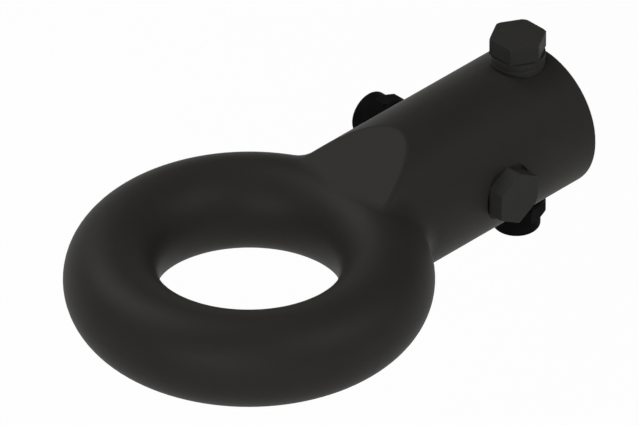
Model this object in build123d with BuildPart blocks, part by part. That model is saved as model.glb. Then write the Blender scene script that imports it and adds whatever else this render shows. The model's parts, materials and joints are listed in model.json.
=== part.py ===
from build123d import *
from math import cos, radians, sin, sqrt, tan
import os

# A forged towing eye with a round socket that is bolted over the end of a drawbar tube.
# Origin at the centre of the ring, +Z along the ring's axis, +Y from the ring to the socket's mouth.
# All sizes are in millimetres and degrees.

# Towing ring
ring_bore = 76.2
ring_section = 41.3

# Socket for the drawbar tube
socket_od = 67.2
socket_bore = 51.0
socket_reach = 178.0  # ring centre to the socket's mouth
socket_depth = 80.0
socket_floor_angle = 118.0  # point left by the drill at the bottom of the socket
mouth_outer_chamfer = 1.0
mouth_inner_chamfer = 1.5

# Neck between ring and socket, flattened above and below
ramp_angle = 20.5
ramp_sink = 0.03  # how far each flat runs below the plane that just touches the ring
ramp_edge_radius = 4.0
neck_blend_radius = 16.0

# Where the two bolts cross the socket, measured back from its mouth
vertical_bolt_setback = 15.0
cross_bolt_setback = 54.0
bolt_hole = 15.0
spot_face_diameter = 26.4
spot_face_depth = 2.0  # below the socket's crown, under the cross bolt's head

# Hexagon bolts
thread_size = 14.0
thread_core = 11.55
thread_length = 34.0
thread_tip_chamfer = 1.0
head_across_flats = 22.0
head_height = 8.3
head_face_diameter = 24.0  # where the corners' chamfer meets the outer face
hex_chamfer_angle = 30.0
bearing_face_diameter = 20.5
bearing_face_height = 0.4
vertical_bolt_protrusion = 1.1  # past the nut, which makes the bolt 92 long
cross_bolt_protrusion = 1.3  # past the nut, which makes the bolt 85 long

# Washers
saddle_washer_diameter = 24.0
saddle_washer_crown = 2.0
saddle_fit = 0.05  # room between a saddle washer and the round of the socket
washer_hole = 15.0
plain_washer_diameter = 25.4
plain_washer_thickness = 2.5
plain_washer_chamfer = 0.4
spring_washer_diameter = 24.1
spring_washer_hole = 14.5
spring_washer_thickness = 3.2
spring_washer_slit = 1.4
spring_washer_slit_lean = 30.0
spring_washer_slit_azimuth = 115.0  # about +Z from +X, turned away from the ring

# Lock nuts, each with a nylon ring crimped into a round collar
nut_across_flats = 22.0
nut_height = 14.0
nut_hex_height = 7.8
nut_collar_diameter = 21.0
nut_collar_round = 1.5
nut_lip_thickness = 1.0
nut_lip_overlap = 0.9  # how far the crimped lip covers the nylon ring
nut_thread_fit = 0.3  # on the diameter, over the bolt's core
insert_diameter = 17.0
insert_height = 3.4
insert_fit = 0.05
insert_thread_fit = 0.6  # on the diameter, over the bolt's core

# Worked out from the sizes above
ring_radius = (ring_bore + ring_section) / 2
section_radius = ring_section / 2
socket_radius = socket_od / 2
ramp_rise = tan(radians(ramp_angle))
ramp_ring_z = section_radius / cos(radians(ramp_angle)) - ramp_sink  # the flats' height at the ring's circle
neck_root_radius = ring_radius - section_radius * sin(radians(ramp_angle))
ramp_root_z = ramp_ring_z + (neck_root_radius - ring_radius) * ramp_rise
ramp_mouth_z = ramp_ring_z + (socket_reach - ring_radius) * ramp_rise
socket_floor_y = socket_reach - socket_depth
socket_point = socket_bore / 2 / tan(radians(socket_floor_angle / 2))
vertical_bolt_y = socket_reach - vertical_bolt_setback
cross_bolt_y = socket_reach - cross_bolt_setback
spot_face_x = socket_radius - spot_face_depth

vertical_head_z = socket_radius + saddle_washer_crown + spring_washer_thickness
nut_end = socket_radius + saddle_washer_crown + plain_washer_thickness + nut_height
vertical_bolt_length = vertical_head_z + nut_end + vertical_bolt_protrusion
cross_bolt_length = spot_face_x + nut_end + cross_bolt_protrusion

# Seats: each plane's z points away from the socket, and its x towards a corner of the hexagon
vertical_head_seat = Plane((0, vertical_bolt_y, vertical_head_z), x_dir=(1, 0, 0), z_dir=(0, 0, 1))
vertical_top_seat = Plane((0, vertical_bolt_y, socket_radius), x_dir=(1, 0, 0), z_dir=(0, 0, 1))
vertical_bottom_seat = Plane((0, vertical_bolt_y, -socket_radius), x_dir=(1, 1, 0), z_dir=(0, 0, -1))
cross_head_seat = Plane((spot_face_x, cross_bolt_y, 0), x_dir=(0, 0, 1), z_dir=(1, 0, 0))
cross_far_seat = Plane((-socket_radius, cross_bolt_y, 0), x_dir=(0, 1, 1), z_dir=(-1, 0, 0))
vertical_nut_seat = vertical_bottom_seat.offset(saddle_washer_crown + plain_washer_thickness)
cross_nut_seat = cross_far_seat.offset(saddle_washer_crown + plain_washer_thickness)


def profile_plane(seat):
    return Plane(seat.origin, x_dir=seat.x_dir, z_dir=-seat.y_dir)


def seat_axis(seat):
    return Axis(seat.origin, seat.z_dir)


def corner_radius(across_flats):
    return across_flats / 2 / cos(radians(30))


def make_hex_bolt(seat, length):
    face_radius = head_face_diameter / 2
    corner = corner_radius(head_across_flats)
    corner_drop = (corner - face_radius) * tan(radians(hex_chamfer_angle))
    plain_length = length - thread_length
    with BuildPart() as bolt:
        with BuildSketch(seat.offset(bearing_face_height)):
            RegularPolygon(corner, 6)
        extrude(amount=head_height - bearing_face_height)
        with BuildSketch(profile_plane(seat)):
            with BuildLine():
                Polyline(
                    (0, 0),
                    (corner, 0),
                    (corner, head_height - corner_drop),
                    (face_radius, head_height),
                    (0, head_height),
                    close=True,
                )
            make_face()
        revolve(axis=seat_axis(seat), mode=Mode.INTERSECT)
        with BuildSketch(seat):
            Circle(bearing_face_diameter / 2)
        extrude(amount=bearing_face_height)
        with BuildSketch(seat):
            Circle(thread_size / 2)
        extrude(amount=-plain_length)
        with BuildSketch(seat.offset(-plain_length)):
            Circle(thread_core / 2)
        extrude(amount=-thread_length)
        tip = bolt.faces().sort_by(seat_axis(seat)).first
        chamfer(tip.edges(), thread_tip_chamfer)
    return bolt.part


def make_saddle_washer(seat):
    washer_radius = saddle_washer_diameter / 2
    edge_drop = socket_radius - sqrt(socket_radius**2 - washer_radius**2)
    with BuildPart() as washer:
        with BuildSketch(seat.offset(saddle_washer_crown)):
            Circle(washer_radius)
            Circle(washer_hole / 2, mode=Mode.SUBTRACT)
        extrude(amount=-(saddle_washer_crown + edge_drop))
        with BuildSketch(Plane.XZ.offset(-seat.origin.Y)):
            Circle(socket_radius + saddle_fit)
        extrude(amount=saddle_washer_diameter, both=True, mode=Mode.SUBTRACT)
    return washer.part


def make_plain_washer(seat):
    with BuildPart() as washer:
        with BuildSketch(seat):
            Circle(plain_washer_diameter / 2)
            Circle(washer_hole / 2, mode=Mode.SUBTRACT)
        extrude(amount=plain_washer_thickness)
        outer_edges = washer.edges().filter_by(GeomType.CIRCLE).group_by(SortBy.RADIUS)[-1]
        chamfer(outer_edges, plain_washer_chamfer)
    return washer.part


def make_spring_washer(seat):
    lean = spring_washer_thickness * tan(radians(spring_washer_slit_lean))
    azimuth = radians(spring_washer_slit_azimuth)
    outward = (cos(azimuth), sin(azimuth), 0)
    slit_plane = Plane(seat.origin, x_dir=(-sin(azimuth), cos(azimuth), 0), z_dir=outward)
    with BuildPart() as washer:
        with BuildSketch(seat):
            Circle(spring_washer_diameter / 2)
            Circle(spring_washer_hole / 2, mode=Mode.SUBTRACT)
        extrude(amount=spring_washer_thickness)
        with BuildSketch(slit_plane):
            with BuildLine():
                Polyline(
                    (0, 0),
                    (spring_washer_slit, 0),
                    (spring_washer_slit + lean, spring_washer_thickness),
                    (lean, spring_washer_thickness),
                    close=True,
                )
            make_face()
        extrude(amount=spring_washer_diameter, mode=Mode.SUBTRACT)
    return washer.part


def make_lock_nut(seat):
    flat_radius = nut_across_flats / 2
    corner = corner_radius(nut_across_flats)
    corner_drop = (corner - flat_radius) * tan(radians(hex_chamfer_angle))
    collar = nut_collar_diameter / 2
    bore = (thread_core + nut_thread_fit) / 2
    pocket_radius = insert_diameter / 2 + insert_fit
    lip_radius = insert_diameter / 2 - nut_lip_overlap
    pocket_top = nut_height - nut_lip_thickness
    pocket_floor = pocket_top - insert_height
    with BuildPart() as nut:
        with BuildSketch(seat):
            RegularPolygon(corner, 6)
        extrude(amount=nut_hex_height)
        with BuildSketch(profile_plane(seat)):
            with BuildLine():
                Polyline(
                    (0, 0),
                    (flat_radius, 0),
                    (corner, corner_drop),
                    (corner, nut_hex_height - corner_drop),
                    (flat_radius, nut_hex_height),
                    (0, nut_hex_height),
                    close=True,
                )
            make_face()
        revolve(axis=seat_axis(seat), mode=Mode.INTERSECT)
        with BuildSketch(profile_plane(seat)):
            with BuildLine():
                round_start = (collar, nut_height - nut_collar_round)
                round_end = (collar - nut_collar_round, nut_height)
                Polyline((0, nut_hex_height), (collar, nut_hex_height), round_start)
                RadiusArc(round_start, round_end, -nut_collar_round)
                Polyline(round_end, (0, nut_height), (0, nut_hex_height))
            make_face()
        revolve(axis=seat_axis(seat))
        with BuildSketch(profile_plane(seat)):
            with BuildLine():
                Polyline(
                    (0, 0),
                    (bore, 0),
                    (bore, pocket_floor),
                    (pocket_radius, pocket_floor),
                    (pocket_radius, pocket_top),
                    (lip_radius, pocket_top),
                    (lip_radius, nut_height),
                    (0, nut_height),
                    close=True,
                )
            make_face()
        revolve(axis=seat_axis(seat), mode=Mode.SUBTRACT)
    return nut.part


def make_nut_insert(seat):
    pocket_floor = nut_height - nut_lip_thickness - insert_height
    with BuildPart() as insert:
        with BuildSketch(seat.offset(pocket_floor)):
            Circle(insert_diameter / 2)
            Circle((thread_core + insert_thread_fit) / 2, mode=Mode.SUBTRACT)
        extrude(amount=insert_height)
    return insert.part


# The eye: ring, neck and socket forged as one piece, then bored and drilled
with BuildPart() as towing_eye:
    # Round neck and socket, kept between two flats that rise from the ring's crown
    with BuildSketch(Plane.XZ):
        Circle(socket_radius)
    extrude(amount=-socket_reach)
    with BuildSketch(Plane.YZ):
        with BuildLine():
            Polyline(
                (neck_root_radius, ramp_root_z),
                (socket_reach, ramp_mouth_z),
                (socket_reach, -ramp_mouth_z),
                (neck_root_radius, -ramp_root_z),
                close=True,
            )
        make_face()
    extrude(amount=socket_od, both=True, mode=Mode.INTERSECT)
    fillet(towing_eye.edges().filter_by(GeomType.ELLIPSE), ramp_edge_radius)

    # Ring, blended into the neck
    with BuildSketch(Plane.XZ):
        with Locations((ring_radius, 0)):
            Circle(section_radius)
    revolve(axis=Axis.Z)
    fillet(towing_eye.edges(Select.NEW), neck_blend_radius)

    # Socket bore with the drill's point at its floor
    with BuildSketch(Plane.YZ):
        with BuildLine():
            Polyline(
                (socket_reach, 0),
                (socket_reach, socket_bore / 2),
                (socket_floor_y, socket_bore / 2),
                (socket_floor_y - socket_point, 0),
                close=True,
            )
        make_face()
    revolve(axis=Axis.Y, mode=Mode.SUBTRACT)
    mouth_edges = towing_eye.faces().sort_by(Axis.Y).last.edges().sort_by(SortBy.RADIUS)
    chamfer(mouth_edges.first, mouth_inner_chamfer)
    chamfer(mouth_edges.last, mouth_outer_chamfer)

    # Bolt holes through both walls, and the flat seat for the cross bolt's head
    with BuildSketch(Plane.XY.offset(-socket_od)):
        with Locations((0, vertical_bolt_y)):
            Circle(bolt_hole / 2)
    extrude(amount=2 * socket_od, mode=Mode.SUBTRACT)
    with BuildSketch(Plane.YZ.offset(-socket_od)):
        with Locations((cross_bolt_y, 0)):
            Circle(bolt_hole / 2)
    extrude(amount=2 * socket_od, mode=Mode.SUBTRACT)
    with BuildSketch(cross_head_seat):
        Circle(spot_face_diameter / 2)
    extrude(amount=spot_face_depth, mode=Mode.SUBTRACT)

pieces = {
    "towing_eye": towing_eye.part,
    "vertical_bolt": make_hex_bolt(vertical_head_seat, vertical_bolt_length),
    "spring_washer": make_spring_washer(vertical_top_seat.offset(saddle_washer_crown)),
    "top_saddle_washer": make_saddle_washer(vertical_top_seat),
    "bottom_saddle_washer": make_saddle_washer(vertical_bottom_seat),
    "vertical_plain_washer": make_plain_washer(vertical_bottom_seat.offset(saddle_washer_crown)),
    "vertical_lock_nut": make_lock_nut(vertical_nut_seat),
    "vertical_nut_insert": make_nut_insert(vertical_nut_seat),
    "cross_bolt": make_hex_bolt(cross_head_seat, cross_bolt_length),
    "cross_saddle_washer": make_saddle_washer(cross_far_seat),
    "cross_plain_washer": make_plain_washer(cross_far_seat.offset(saddle_washer_crown)),
    "cross_lock_nut": make_lock_nut(cross_nut_seat),
    "cross_nut_insert": make_nut_insert(cross_nut_seat),
}

os.makedirs("parts", exist_ok=True)
for name, piece in pieces.items():
    piece.label = name
    export_step(piece, f"parts/{name}.step")
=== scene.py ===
import json
import math

import bmesh
import bpy
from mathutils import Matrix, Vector


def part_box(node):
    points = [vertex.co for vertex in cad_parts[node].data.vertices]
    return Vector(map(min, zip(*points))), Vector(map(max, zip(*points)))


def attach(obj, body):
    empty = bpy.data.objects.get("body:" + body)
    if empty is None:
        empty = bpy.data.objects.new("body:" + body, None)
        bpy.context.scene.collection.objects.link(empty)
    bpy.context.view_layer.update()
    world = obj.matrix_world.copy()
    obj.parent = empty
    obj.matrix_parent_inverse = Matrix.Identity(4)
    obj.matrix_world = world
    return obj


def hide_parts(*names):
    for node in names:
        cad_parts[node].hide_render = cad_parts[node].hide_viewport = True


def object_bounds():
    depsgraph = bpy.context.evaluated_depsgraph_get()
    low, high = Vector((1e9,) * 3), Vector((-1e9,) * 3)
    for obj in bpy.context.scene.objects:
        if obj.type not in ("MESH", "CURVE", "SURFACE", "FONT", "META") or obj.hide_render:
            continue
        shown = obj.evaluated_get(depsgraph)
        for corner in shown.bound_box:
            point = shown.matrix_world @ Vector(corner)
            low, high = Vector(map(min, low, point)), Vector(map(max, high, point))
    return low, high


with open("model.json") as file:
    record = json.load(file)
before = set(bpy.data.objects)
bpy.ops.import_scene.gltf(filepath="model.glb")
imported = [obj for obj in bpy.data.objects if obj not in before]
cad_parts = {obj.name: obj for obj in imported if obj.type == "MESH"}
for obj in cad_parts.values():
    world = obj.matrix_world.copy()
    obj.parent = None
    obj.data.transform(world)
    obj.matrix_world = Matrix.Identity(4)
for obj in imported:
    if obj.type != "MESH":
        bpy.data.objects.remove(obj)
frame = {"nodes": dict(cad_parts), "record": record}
cadBox = [list(corner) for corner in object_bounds()]
nodes = frame["nodes"]
mm = 0.001
print("frame loaded:", len(nodes), "pieces")


def addObject(name, data):
    item = bpy.data.objects.new(name, data)
    bpy.context.scene.collection.objects.link(item)
    return item


def heading(azimuth, elevation):  # unit vector from degrees, azimuth from +X towards +Y
    turn = math.radians(azimuth)
    rise = math.radians(elevation)
    return Vector((math.cos(turn) * math.cos(rise), math.sin(turn) * math.cos(rise), math.sin(rise)))


def addAimed(name, data, place, back):
    item = addObject(name, data)
    item.rotation_mode = "QUATERNION"
    item.location = place
    item.rotation_quaternion = (-back).to_track_quat("-Z", "Y")
    return item


# Camera: a long lens from the upper right of the ring, nearly without perspective
cameraSetup = {
    "azimuth": 45.04,  # degrees, 0 looks along +Y
    "elevation": 34.95,
    "lens": 1000.0,  # mm on the default sensor
    "pixelsPerMm": 2.3458,  # at the ring's centre
    "imageWidth": 638,
    "imageHeight": 425,
    "ringCentrePixel": (249.0, 278.4),
    "clipEnd": 3.0,  # times the distance to the ring
}


def makeCamera(setup):
    back = heading(setup["azimuth"] - 90, setup["elevation"])  # azimuth 0 stands on the -Y side
    right = heading(setup["azimuth"], 0)
    up = back.cross(right)
    data = bpy.data.cameras.new("studioCamera")
    data.lens = setup["lens"]
    scale = mm / setup["pixelsPerMm"]  # metres for each pixel at the ring's centre
    column, row = setup["ringCentrePixel"]
    sideways = (setup["imageWidth"] / 2 - column) * scale
    upwards = (row - setup["imageHeight"] / 2) * scale
    distance = setup["imageWidth"] * scale * data.lens / data.sensor_width
    data.clip_end = distance * setup["clipEnd"]
    camera = addAimed("studioCamera", data, right * sideways + up * upwards + back * distance, back)
    bpy.context.scene.camera = camera
    return camera


camera = makeCamera(cameraSetup)
bpy.context.scene.view_settings.view_transform = "Standard"
print("camera placed at", [round(x, 3) for x in camera.location])


# Small helpers for node trees
def emptyTree(owner):
    owner.use_nodes = True
    owner.node_tree.nodes.clear()
    return owner.node_tree


def addNode(tree, kind, place, **values):
    node = tree.nodes.new(kind)
    node.location = place
    for name, value in values.items():
        setattr(node, name, value)
    return node


def feed(tree, socket, value):
    if isinstance(value, (int, float)):
        socket.default_value = value
    else:
        tree.links.new(value, socket)


def mathNode(tree, operation, place, *values):
    node = addNode(tree, "ShaderNodeMath", place, operation=operation)
    for socket, value in zip(node.inputs, values):
        feed(tree, socket, value)
    return node.outputs[0]


def rangeNode(tree, place, value, fromLow, fromHigh, toLow, toHigh, curve="LINEAR"):
    node = addNode(tree, "ShaderNodeMapRange", place, interpolation_type=curve)
    for name, item in zip(("Value", "From Min", "From Max", "To Min", "To Max"),
                          (value, fromLow, fromHigh, toLow, toHigh)):
        feed(tree, node.inputs[name], item)
    return node.outputs["Result"]


def noise(tree, vector, place, scale, detail, roughness):
    node = addNode(tree, "ShaderNodeTexNoise", place)
    node.inputs["Scale"].default_value = scale
    node.inputs["Detail"].default_value = detail
    node.inputs["Roughness"].default_value = roughness
    tree.links.new(vector, node.inputs["Vector"])
    return node.outputs["Fac"]


def tint(tree, factor, place, dark, light):
    node = addNode(tree, "ShaderNodeMix", place, data_type="RGBA")
    colours = {"A": dark, "B": light}
    for socket in node.inputs:
        if socket.type == "RGBA":
            socket.default_value = (*colours[socket.name], 1.0)
    tree.links.new(factor, node.inputs["Factor"])
    return next(socket for socket in node.outputs if socket.type == "RGBA")


def bump(tree, height, place, distance, under=None):
    node = addNode(tree, "ShaderNodeBump", place)
    node.inputs["Distance"].default_value = distance
    node.inputs["Strength"].default_value = 1.0
    tree.links.new(height, node.inputs["Height"])
    if under is not None:
        tree.links.new(under, node.inputs["Normal"])
    return node.outputs["Normal"]


# Coated steel: a sprayed or dipped black finish with a faint cloudiness and grain
eyePaint = {
    "dark": (0.0165, 0.0155, 0.0136),
    "light": (0.0183, 0.0172, 0.0150),
    "cloudScale": 45.0,  # per metre
    "grainScale": 1400.0,
    "grainDepth": 0.00002,
    "swellScale": 90.0,
    "swellDepth": 0.00008,
    "roughness": (0.51, 0.59),
    "specular": 0.1,
}
boltCoat = {
    "dark": (0.0220, 0.0215, 0.0205),
    "light": (0.0243, 0.0237, 0.0226),
    "cloudScale": 160.0,
    "grainScale": 2600.0,
    "grainDepth": 0.00001,
    "swellScale": 500.0,
    "swellDepth": 0.00002,
    "roughness": (0.50, 0.58),
    "specular": 0.05,
}
washerCoat = dict(boltCoat, dark=(0.0216, 0.0211, 0.0202), light=(0.0238, 0.0233, 0.0222))
nutCoat = dict(boltCoat, dark=(0.0042, 0.0042, 0.0042), light=(0.0054, 0.0054, 0.0054), specular=0.008)
nylon = {
    "dark": (0.0030, 0.0030, 0.0032),
    "light": (0.0045, 0.0045, 0.0047),
    "cloudScale": 300.0,
    "grainScale": 3000.0,
    "grainDepth": 0.00001,
    "swellScale": 700.0,
    "swellDepth": 0.00001,
    "roughness": (0.55, 0.65),
    "specular": 0.08,
}
finishOfSlot = {
    "eye_paint": ("eyePaint", eyePaint),
    "bolt_black": ("boltCoat", boltCoat),
    "washer_black": ("washerCoat", washerCoat),
    "nut_black": ("nutCoat", nutCoat),
    "nylon_black": ("nylon", nylon),
}
coatNoise = {  # detail and roughness
    "cloud": (4.0, 0.55),
    "swell": (2.0, 0.5),
    "grain": (3.0, 0.6),
}
noiseMiddle = (0.3, 0.7)  # where most of a noise's values lie


def coatedSteel(name, finish):
    material = bpy.data.materials.new(name)
    tree = emptyTree(material)
    output = addNode(tree, "ShaderNodeOutputMaterial", (900, 0))
    shader = addNode(tree, "ShaderNodeBsdfPrincipled", (600, 0))
    coords = addNode(tree, "ShaderNodeTexCoord", (-900, 0)).outputs["Object"]
    cloud = noise(tree, coords, (-600, 200), finish["cloudScale"], *coatNoise["cloud"])
    swell = noise(tree, coords, (-600, -100), finish["swellScale"], *coatNoise["swell"])
    grain = noise(tree, coords, (-600, -400), finish["grainScale"], *coatNoise["grain"])
    share = rangeNode(tree, (-350, 300), cloud, *noiseMiddle, 0.0, 1.0)
    colour = tint(tree, share, (0, 300), finish["dark"], finish["light"])
    roughness = rangeNode(tree, (0, 0), grain, *noiseMiddle, *finish["roughness"])
    swelled = bump(tree, swell, (0, -200), finish["swellDepth"])
    grained = bump(tree, grain, (300, -300), finish["grainDepth"], swelled)
    tree.links.new(colour, shader.inputs["Base Color"])
    tree.links.new(roughness, shader.inputs["Roughness"])
    tree.links.new(grained, shader.inputs["Normal"])
    tree.links.new(shader.outputs["BSDF"], output.inputs["Surface"])
    shader.inputs["Specular IOR Level"].default_value = finish["specular"]
    return material


finishes = {slot: coatedSteel(*named) for slot, named in finishOfSlot.items()}
for row in frame["record"]["subparts"]:
    piece = nodes[row["node"]]
    piece.data.materials.clear()
    piece.data.materials.append(finishes[row["material_slot"]])
print("finishes given to", len(nodes), "pieces")


# Rolled threads: a skin over each bolt's plain core, from the shank's end to the chamfered tip
threadSizes = {
    "Core Radius": 0.00580,
    "Crest Radius": 0.00697,
    "Pitch": 0.0020,
    "Length": 0.0341,
    "Run Out": 0.0030,  # where the groove rises to the shank
    "Lead": 0.0020,  # chamfered length at the tip
    "Tip Radius": 0.00515,
    "Columns": 49,
    "Rows": 274,
}
threadForm = {
    "rootEnd": 0.125,  # shares of a pitch, from the middle of the groove
    "crestStart": 0.4375,
    "endShare": 0.0001,  # of the length, beyond which an end row closes on the axis
    "mergeDistance": 0.00001,
    "tipGap": 0.0004,  # from the skin's end to the bolt's flat tip
}
threadedBolts = {
    "vertical_bolt": {"direction": (0, 0, -1), "turn": (math.pi, 0, 0)},
    "cross_bolt": {"direction": (-1, 0, 0), "turn": (0, -math.pi / 2, 0)},
}


def threadRadius(tree, given, around, along, height):
    turns = mathNode(tree, "DIVIDE", (-600, -100), height, given["Pitch"])
    phase = mathNode(tree, "SUBTRACT", (-400, -100), turns, around)
    ridge = mathNode(tree, "PINGPONG", (-200, -100), phase, 0.5)  # 0 in the groove, 0.5 on the crest
    profile = rangeNode(tree, (0, -100), ridge, threadForm["rootEnd"], threadForm["crestStart"], 0.0, 1.0)
    runOut = rangeNode(tree, (0, -350), height, 0.0, given["Run Out"], 1.0, 0.0)
    raised = mathNode(tree, "MAXIMUM", (200, -200), profile, runOut)
    flank = rangeNode(tree, (400, -200), raised, 0.0, 1.0, given["Core Radius"], given["Crest Radius"])
    leadStart = mathNode(tree, "SUBTRACT", (200, -500), given["Length"], given["Lead"])
    cone = rangeNode(tree, (400, -500), height, leadStart, given["Length"], given["Crest Radius"],
                     given["Tip Radius"])
    radius = mathNode(tree, "MINIMUM", (600, -300), flank, cone)
    pastStart = mathNode(tree, "GREATER_THAN", (400, -800), along, threadForm["endShare"])
    beforeTip = mathNode(tree, "LESS_THAN", (400, -1000), along, 1.0 - threadForm["endShare"])
    between = mathNode(tree, "MULTIPLY", (600, -900), pastStart, beforeTip)
    return mathNode(tree, "MULTIPLY", (800, -400), radius, between)


def makeThreadTree():
    tree = bpy.data.node_groups.new("rolledThread", "GeometryNodeTree")
    tree.interface.new_socket("Geometry", in_out="OUTPUT", socket_type="NodeSocketGeometry")
    kinds = {name: "NodeSocketInt" if isinstance(value, int) else "NodeSocketFloat"
             for name, value in threadSizes.items()}
    kinds.update({"Start": "NodeSocketVector", "Turn": "NodeSocketVector", "Finish": "NodeSocketMaterial"})
    for name, kind in kinds.items():
        tree.interface.new_socket(name, in_out="INPUT", socket_type=kind)
    given = addNode(tree, "NodeGroupInput", (-1600, 0)).outputs
    result = addNode(tree, "NodeGroupOutput", (2400, 0))

    grid = addNode(tree, "GeometryNodeMeshGrid", (-1200, 400))
    grid.inputs["Size X"].default_value = 1.0
    grid.inputs["Size Y"].default_value = 1.0
    tree.links.new(given["Columns"], grid.inputs["Vertices X"])
    tree.links.new(given["Rows"], grid.inputs["Vertices Y"])
    position = addNode(tree, "GeometryNodeInputPosition", (-1400, 0))
    axes = addNode(tree, "ShaderNodeSeparateXYZ", (-1200, 0))
    tree.links.new(position.outputs[0], axes.inputs[0])
    around = mathNode(tree, "ADD", (-1000, 100), axes.outputs["X"], 0.5)  # 0 to 1 round the bolt
    along = mathNode(tree, "ADD", (-1000, -100), axes.outputs["Y"], 0.5)  # 0 to 1 towards the tip
    height = mathNode(tree, "MULTIPLY", (-800, -100), along, given["Length"])
    radius = threadRadius(tree, given, around, along, height)

    angle = mathNode(tree, "MULTIPLY", (800, 200), around, math.tau)
    cosine = mathNode(tree, "COSINE", (900, 300), angle)
    sine = mathNode(tree, "SINE", (900, 100), angle)
    place = addNode(tree, "ShaderNodeCombineXYZ", (1200, 0))
    tree.links.new(mathNode(tree, "MULTIPLY", (1050, 300), cosine, radius), place.inputs["X"])
    tree.links.new(mathNode(tree, "MULTIPLY", (1050, 100), sine, radius), place.inputs["Y"])
    tree.links.new(height, place.inputs["Z"])

    shaped = addNode(tree, "GeometryNodeSetPosition", (1400, 300))
    closed = addNode(tree, "GeometryNodeMergeByDistance", (1550, 300))
    moved = addNode(tree, "GeometryNodeTransform", (1700, 300))
    smooth = addNode(tree, "GeometryNodeSetShadeSmooth", (1850, 300))
    plain = addNode(tree, "GeometryNodeRealizeInstances", (2000, 300))
    coated = addNode(tree, "GeometryNodeSetMaterial", (2150, 300))
    closed.inputs["Distance"].default_value = threadForm["mergeDistance"]
    tree.links.new(place.outputs[0], shaped.inputs["Position"])
    tree.links.new(given["Start"], moved.inputs["Translation"])
    tree.links.new(given["Turn"], moved.inputs["Rotation"])
    tree.links.new(given["Finish"], coated.inputs["Material"])
    chain = (grid, shaped, closed, moved, smooth, plain, coated, result)
    for before, after in zip(chain, chain[1:]):
        tree.links.new(before.outputs[0], after.inputs[0])
    return tree


def makeThread(tree, boltName, setup):
    low, high = (Vector(corner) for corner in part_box(boltName))
    direction = Vector(setup["direction"])
    reach = abs(direction.dot(high - low)) / 2
    tip = (low + high) / 2 + direction * reach
    values = dict(threadSizes)
    values["Start"] = tip - direction * (threadSizes["Length"] + threadForm["tipGap"])
    values["Turn"] = setup["turn"]
    values["Finish"] = finishes["bolt_black"]
    maker = addObject(boltName + "_maker", bpy.data.meshes.new(boltName + "_maker"))
    modifier = maker.modifiers.new("thread", "NODES")
    modifier.node_group = tree
    for item in tree.interface.items_tree:
        if item.in_out == "INPUT":
            modifier[item.identifier] = values[item.name]
    evaluated = maker.evaluated_get(bpy.context.evaluated_depsgraph_get())
    mesh = bpy.data.meshes.new_from_object(evaluated)
    bpy.data.objects.remove(maker)
    mesh.name = boltName + "_thread"
    thread = addObject(mesh.name, mesh)
    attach(thread, "root")
    return thread


threadTree = makeThreadTree()
for boltName, boltSetup in threadedBolts.items():
    boltThread = makeThread(threadTree, boltName, boltSetup)
    print("thread on", boltName, "with", len(boltThread.data.polygons), "faces")


# Washers under the upright head, with tumbled edges so that the seams between them show
washerMesh = {
    "columns": 144,  # sections round the washer
    "edgeSegments": 4,
    "sharpAngle": 40.0,  # degrees, where shading breaks
    "corners": (  # whether outside, whether at the top, and the degrees where the rounding starts
        (True, False, -90),
        (True, True, 0),
        (False, True, 90),
        (False, False, 180),
    ),
}
headWashers = {
    "spring_washer": {
        "hole": 0.00725,
        "topEdge": 0.0002,
        "seatEdge": 0.0004,
        "hollow": None,
        "slit": 0.0014,
        "slitLean": 30.0,  # degrees
        "slitAzimuth": 115.0,
    },
    "top_saddle_washer": {
        "hole": 0.0075,
        "topEdge": 0.0003,
        "seatEdge": 0.0008,
        "hollow": 0.03365,  # radius that sits on the socket
        "slit": None,
    },
}


def washerSection(setup, outer):
    section = []  # radius, height, and whether the height counts from the top or from the seat
    segments = washerMesh["edgeSegments"]
    for outside, fromTop, start in washerMesh["corners"]:
        edge = setup["topEdge"] if fromTop else setup["seatEdge"]
        across = outer - edge if outside else setup["hole"] + edge
        upward = -edge if fromTop else edge
        for step in range(segments + 1):
            angle = math.radians(start + 90 * step / segments)
            section.append((across + edge * math.cos(angle), upward + edge * math.sin(angle), fromTop))
    return section


def washerAngle(setup, share, radius, height):
    if not setup["slit"]:
        return math.tau * share
    lean = height * math.tan(math.radians(setup["slitLean"]))
    first = math.asin((setup["slit"] + lean) / radius)
    last = math.tau + math.asin(lean / radius)
    return math.radians(setup["slitAzimuth"]) + first + (last - first) * share


def washerRings(shape, setup, low, high):
    centre = (low + high) / 2
    section = washerSection(setup, (high.x - low.x) / 2)
    columns = washerMesh["columns"]
    rings = []
    for column in range(columns + 1 if setup["slit"] else columns):
        ring = []
        for radius, height, fromTop in section:
            above = height + high.z - low.z if fromTop else height
            angle = washerAngle(setup, column / columns, radius, above)
            x = radius * math.cos(angle)
            y = radius * math.sin(angle)
            seat = math.sqrt(setup["hollow"] ** 2 - x * x) if setup["hollow"] else low.z
            base = high.z if fromTop else seat
            ring.append(shape.verts.new((centre.x + x, centre.y + y, base + height)))
        rings.append(ring)
    return rings


def makeWasher(nodeName, setup):
    low, high = (Vector(corner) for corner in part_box(nodeName))
    shape = bmesh.new()
    rings = washerRings(shape, setup, low, high)
    for column in range(washerMesh["columns"]):
        here = rings[column]
        there = rings[(column + 1) % len(rings)]
        for i in range(len(here)):
            j = (i + 1) % len(here)
            shape.faces.new((here[i], there[i], there[j], here[j]))
    if setup["slit"]:
        shape.faces.new(rings[0])
        shape.faces.new(rings[-1])
    bmesh.ops.recalc_face_normals(shape, faces=shape.faces)
    for edge in shape.edges:
        edge.smooth = edge.calc_face_angle() < math.radians(washerMesh["sharpAngle"])
    for face in shape.faces:
        face.smooth = True
    mesh = bpy.data.meshes.new(nodeName + "_tumbled")
    shape.to_mesh(mesh)
    shape.free()
    mesh.materials.append(finishes["washer_black"])
    washer = addObject(mesh.name, mesh)
    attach(washer, "root")
    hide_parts(nodeName)
    return washer


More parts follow.
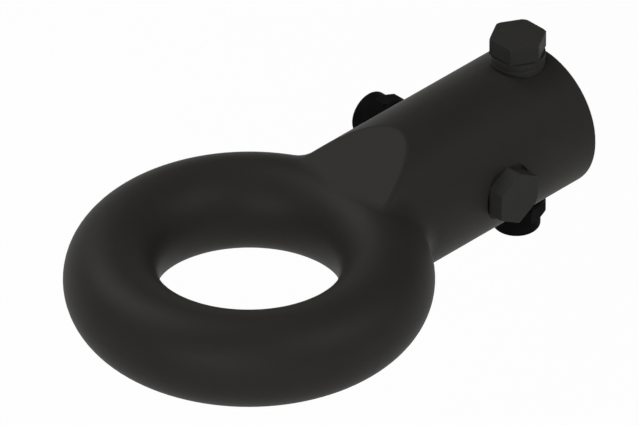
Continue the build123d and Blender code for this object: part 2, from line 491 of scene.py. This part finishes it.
for washerName, washerSetup in headWashers.items():
    tumbled = makeWasher(washerName, washerSetup)
    print("tumbled edges on", washerName, "with", len(tumbled.data.polygons), "faces")


# Studio: pale floor well below the part, soft lamps, white surroundings
studio = {
    "floorDrop": 0.30,  # metres below the part's lowest point
    "floorSize": 60.0,
    "floorColour": (0.9, 0.9, 0.9, 1.0),
    "floorGlow": 0.94,  # share of plain white that the camera sees in the floor
    "surroundings": (1.0, 1.0, 1.0, 1.0),
    "horizonLevel": 0.25,  # how strongly the white band at the horizon lights the part
    "horizonTop": (3.0, 20.0),  # degrees up over which that band fades out
}
lamps = {  # level is how bright a white card facing the lamp looks
    "leftSoftbox": {"azimuth": 185, "elevation": 47, "distance": 3.0, "size": 1.8, "level": 0.575},
    "rightSoftbox": {"azimuth": 20, "elevation": 47, "distance": 3.0, "size": 1.8, "level": 0.525},
    "frontSoftbox": {"azimuth": 295, "elevation": 25, "distance": 3.0, "size": 1.8, "level": 0.572},
}


def rayKinds(tree):  # rays from the camera, and rays that a surface mirrors or lets through
    rays = addNode(tree, "ShaderNodeLightPath", (-1200, 300)).outputs
    mirrored = mathNode(tree, "MAXIMUM", (-900, 300), rays["Is Glossy Ray"], rays["Is Transmission Ray"])
    return rays["Is Camera Ray"], mirrored


def blend(tree, place, share, first, second):
    node = addNode(tree, "ShaderNodeMixShader", place)
    for socket, source in zip(node.inputs, (share, first, second)):
        tree.links.new(source, socket)
    return node.outputs[0]


def makeFloor(setup):
    half = setup["floorSize"] / 2
    height = cadBox[0][2] - setup["floorDrop"]
    corners = [(x * half, y * half, height) for x, y in ((-1, -1), (1, -1), (1, 1), (-1, 1))]
    mesh = bpy.data.meshes.new("studioFloor")
    mesh.from_pydata(corners, [], [(0, 1, 2, 3)])
    floor = addObject("studioFloor", mesh)
    material = bpy.data.materials.new("paleFloor")
    tree = emptyTree(material)
    output = addNode(tree, "ShaderNodeOutputMaterial", (600, 0))
    matt = addNode(tree, "ShaderNodeBsdfDiffuse", (0, 100))
    matt.inputs["Color"].default_value = setup["floorColour"]
    glow = addNode(tree, "ShaderNodeEmission", (0, -100))
    seen = mathNode(tree, "MAXIMUM", (-300, 300), *rayKinds(tree))
    share = mathNode(tree, "MULTIPLY", (0, 300), seen, setup["floorGlow"])
    pale = blend(tree, (300, 0), share, matt.outputs[0], glow.outputs[0])
    facing = addNode(tree, "ShaderNodeNewGeometry", (0, 500))
    clear = addNode(tree, "ShaderNodeBsdfTransparent", (300, -200))  # seen from below, the floor is clear
    sides = blend(tree, (450, 100), facing.outputs["Backfacing"], pale, clear.outputs[0])
    tree.links.new(sides, output.inputs["Surface"])
    mesh.materials.append(material)


def makeLamp(name, setup):
    data = bpy.data.lights.new(name, "AREA")
    data.shape = "DISK"
    data.size = setup["size"]
    data.energy = setup["level"] * (math.pi * setup["distance"]) ** 2  # watts that give the level
    back = heading(setup["azimuth"], setup["elevation"])
    centre = (Vector(cadBox[0]) + Vector(cadBox[1])) / 2
    addAimed(name, data, centre + back * setup["distance"], back)


def makeSurroundings(setup):
    world = bpy.data.worlds.new("studioWorld")
    tree = emptyTree(world)
    output = addNode(tree, "ShaderNodeOutputWorld", (600, 0))
    background = addNode(tree, "ShaderNodeBackground", (300, 0))
    background.inputs["Color"].default_value = setup["surroundings"]
    towards = addNode(tree, "ShaderNodeTexCoord", (-900, 0))
    axes = addNode(tree, "ShaderNodeSeparateXYZ", (-600, 0))
    tree.links.new(towards.outputs["Object"], axes.inputs[0])
    fadeStart, fadeEnd = (math.sin(math.radians(angle)) for angle in setup["horizonTop"])
    band = rangeNode(tree, (-300, 0), axes.outputs["Z"], fadeStart, fadeEnd, 1.0, 0.0, "SMOOTHSTEP")
    direct, mirrored = rayKinds(tree)
    level = mathNode(tree, "MAXIMUM", (-600, 300), mirrored, setup["horizonLevel"])
    backdrop = mathNode(tree, "MULTIPLY", (-150, 150), band, level)
    strength = mathNode(tree, "MAXIMUM", (100, 150), backdrop, direct)
    tree.links.new(strength, background.inputs["Strength"])
    tree.links.new(background.outputs[0], output.inputs["Surface"])
    bpy.context.scene.world = world


makeFloor(studio)
for lampName, lampSetup in lamps.items():
    makeLamp(lampName, lampSetup)
makeSurroundings(studio)
print("studio lit by", len(lamps), "lamps")
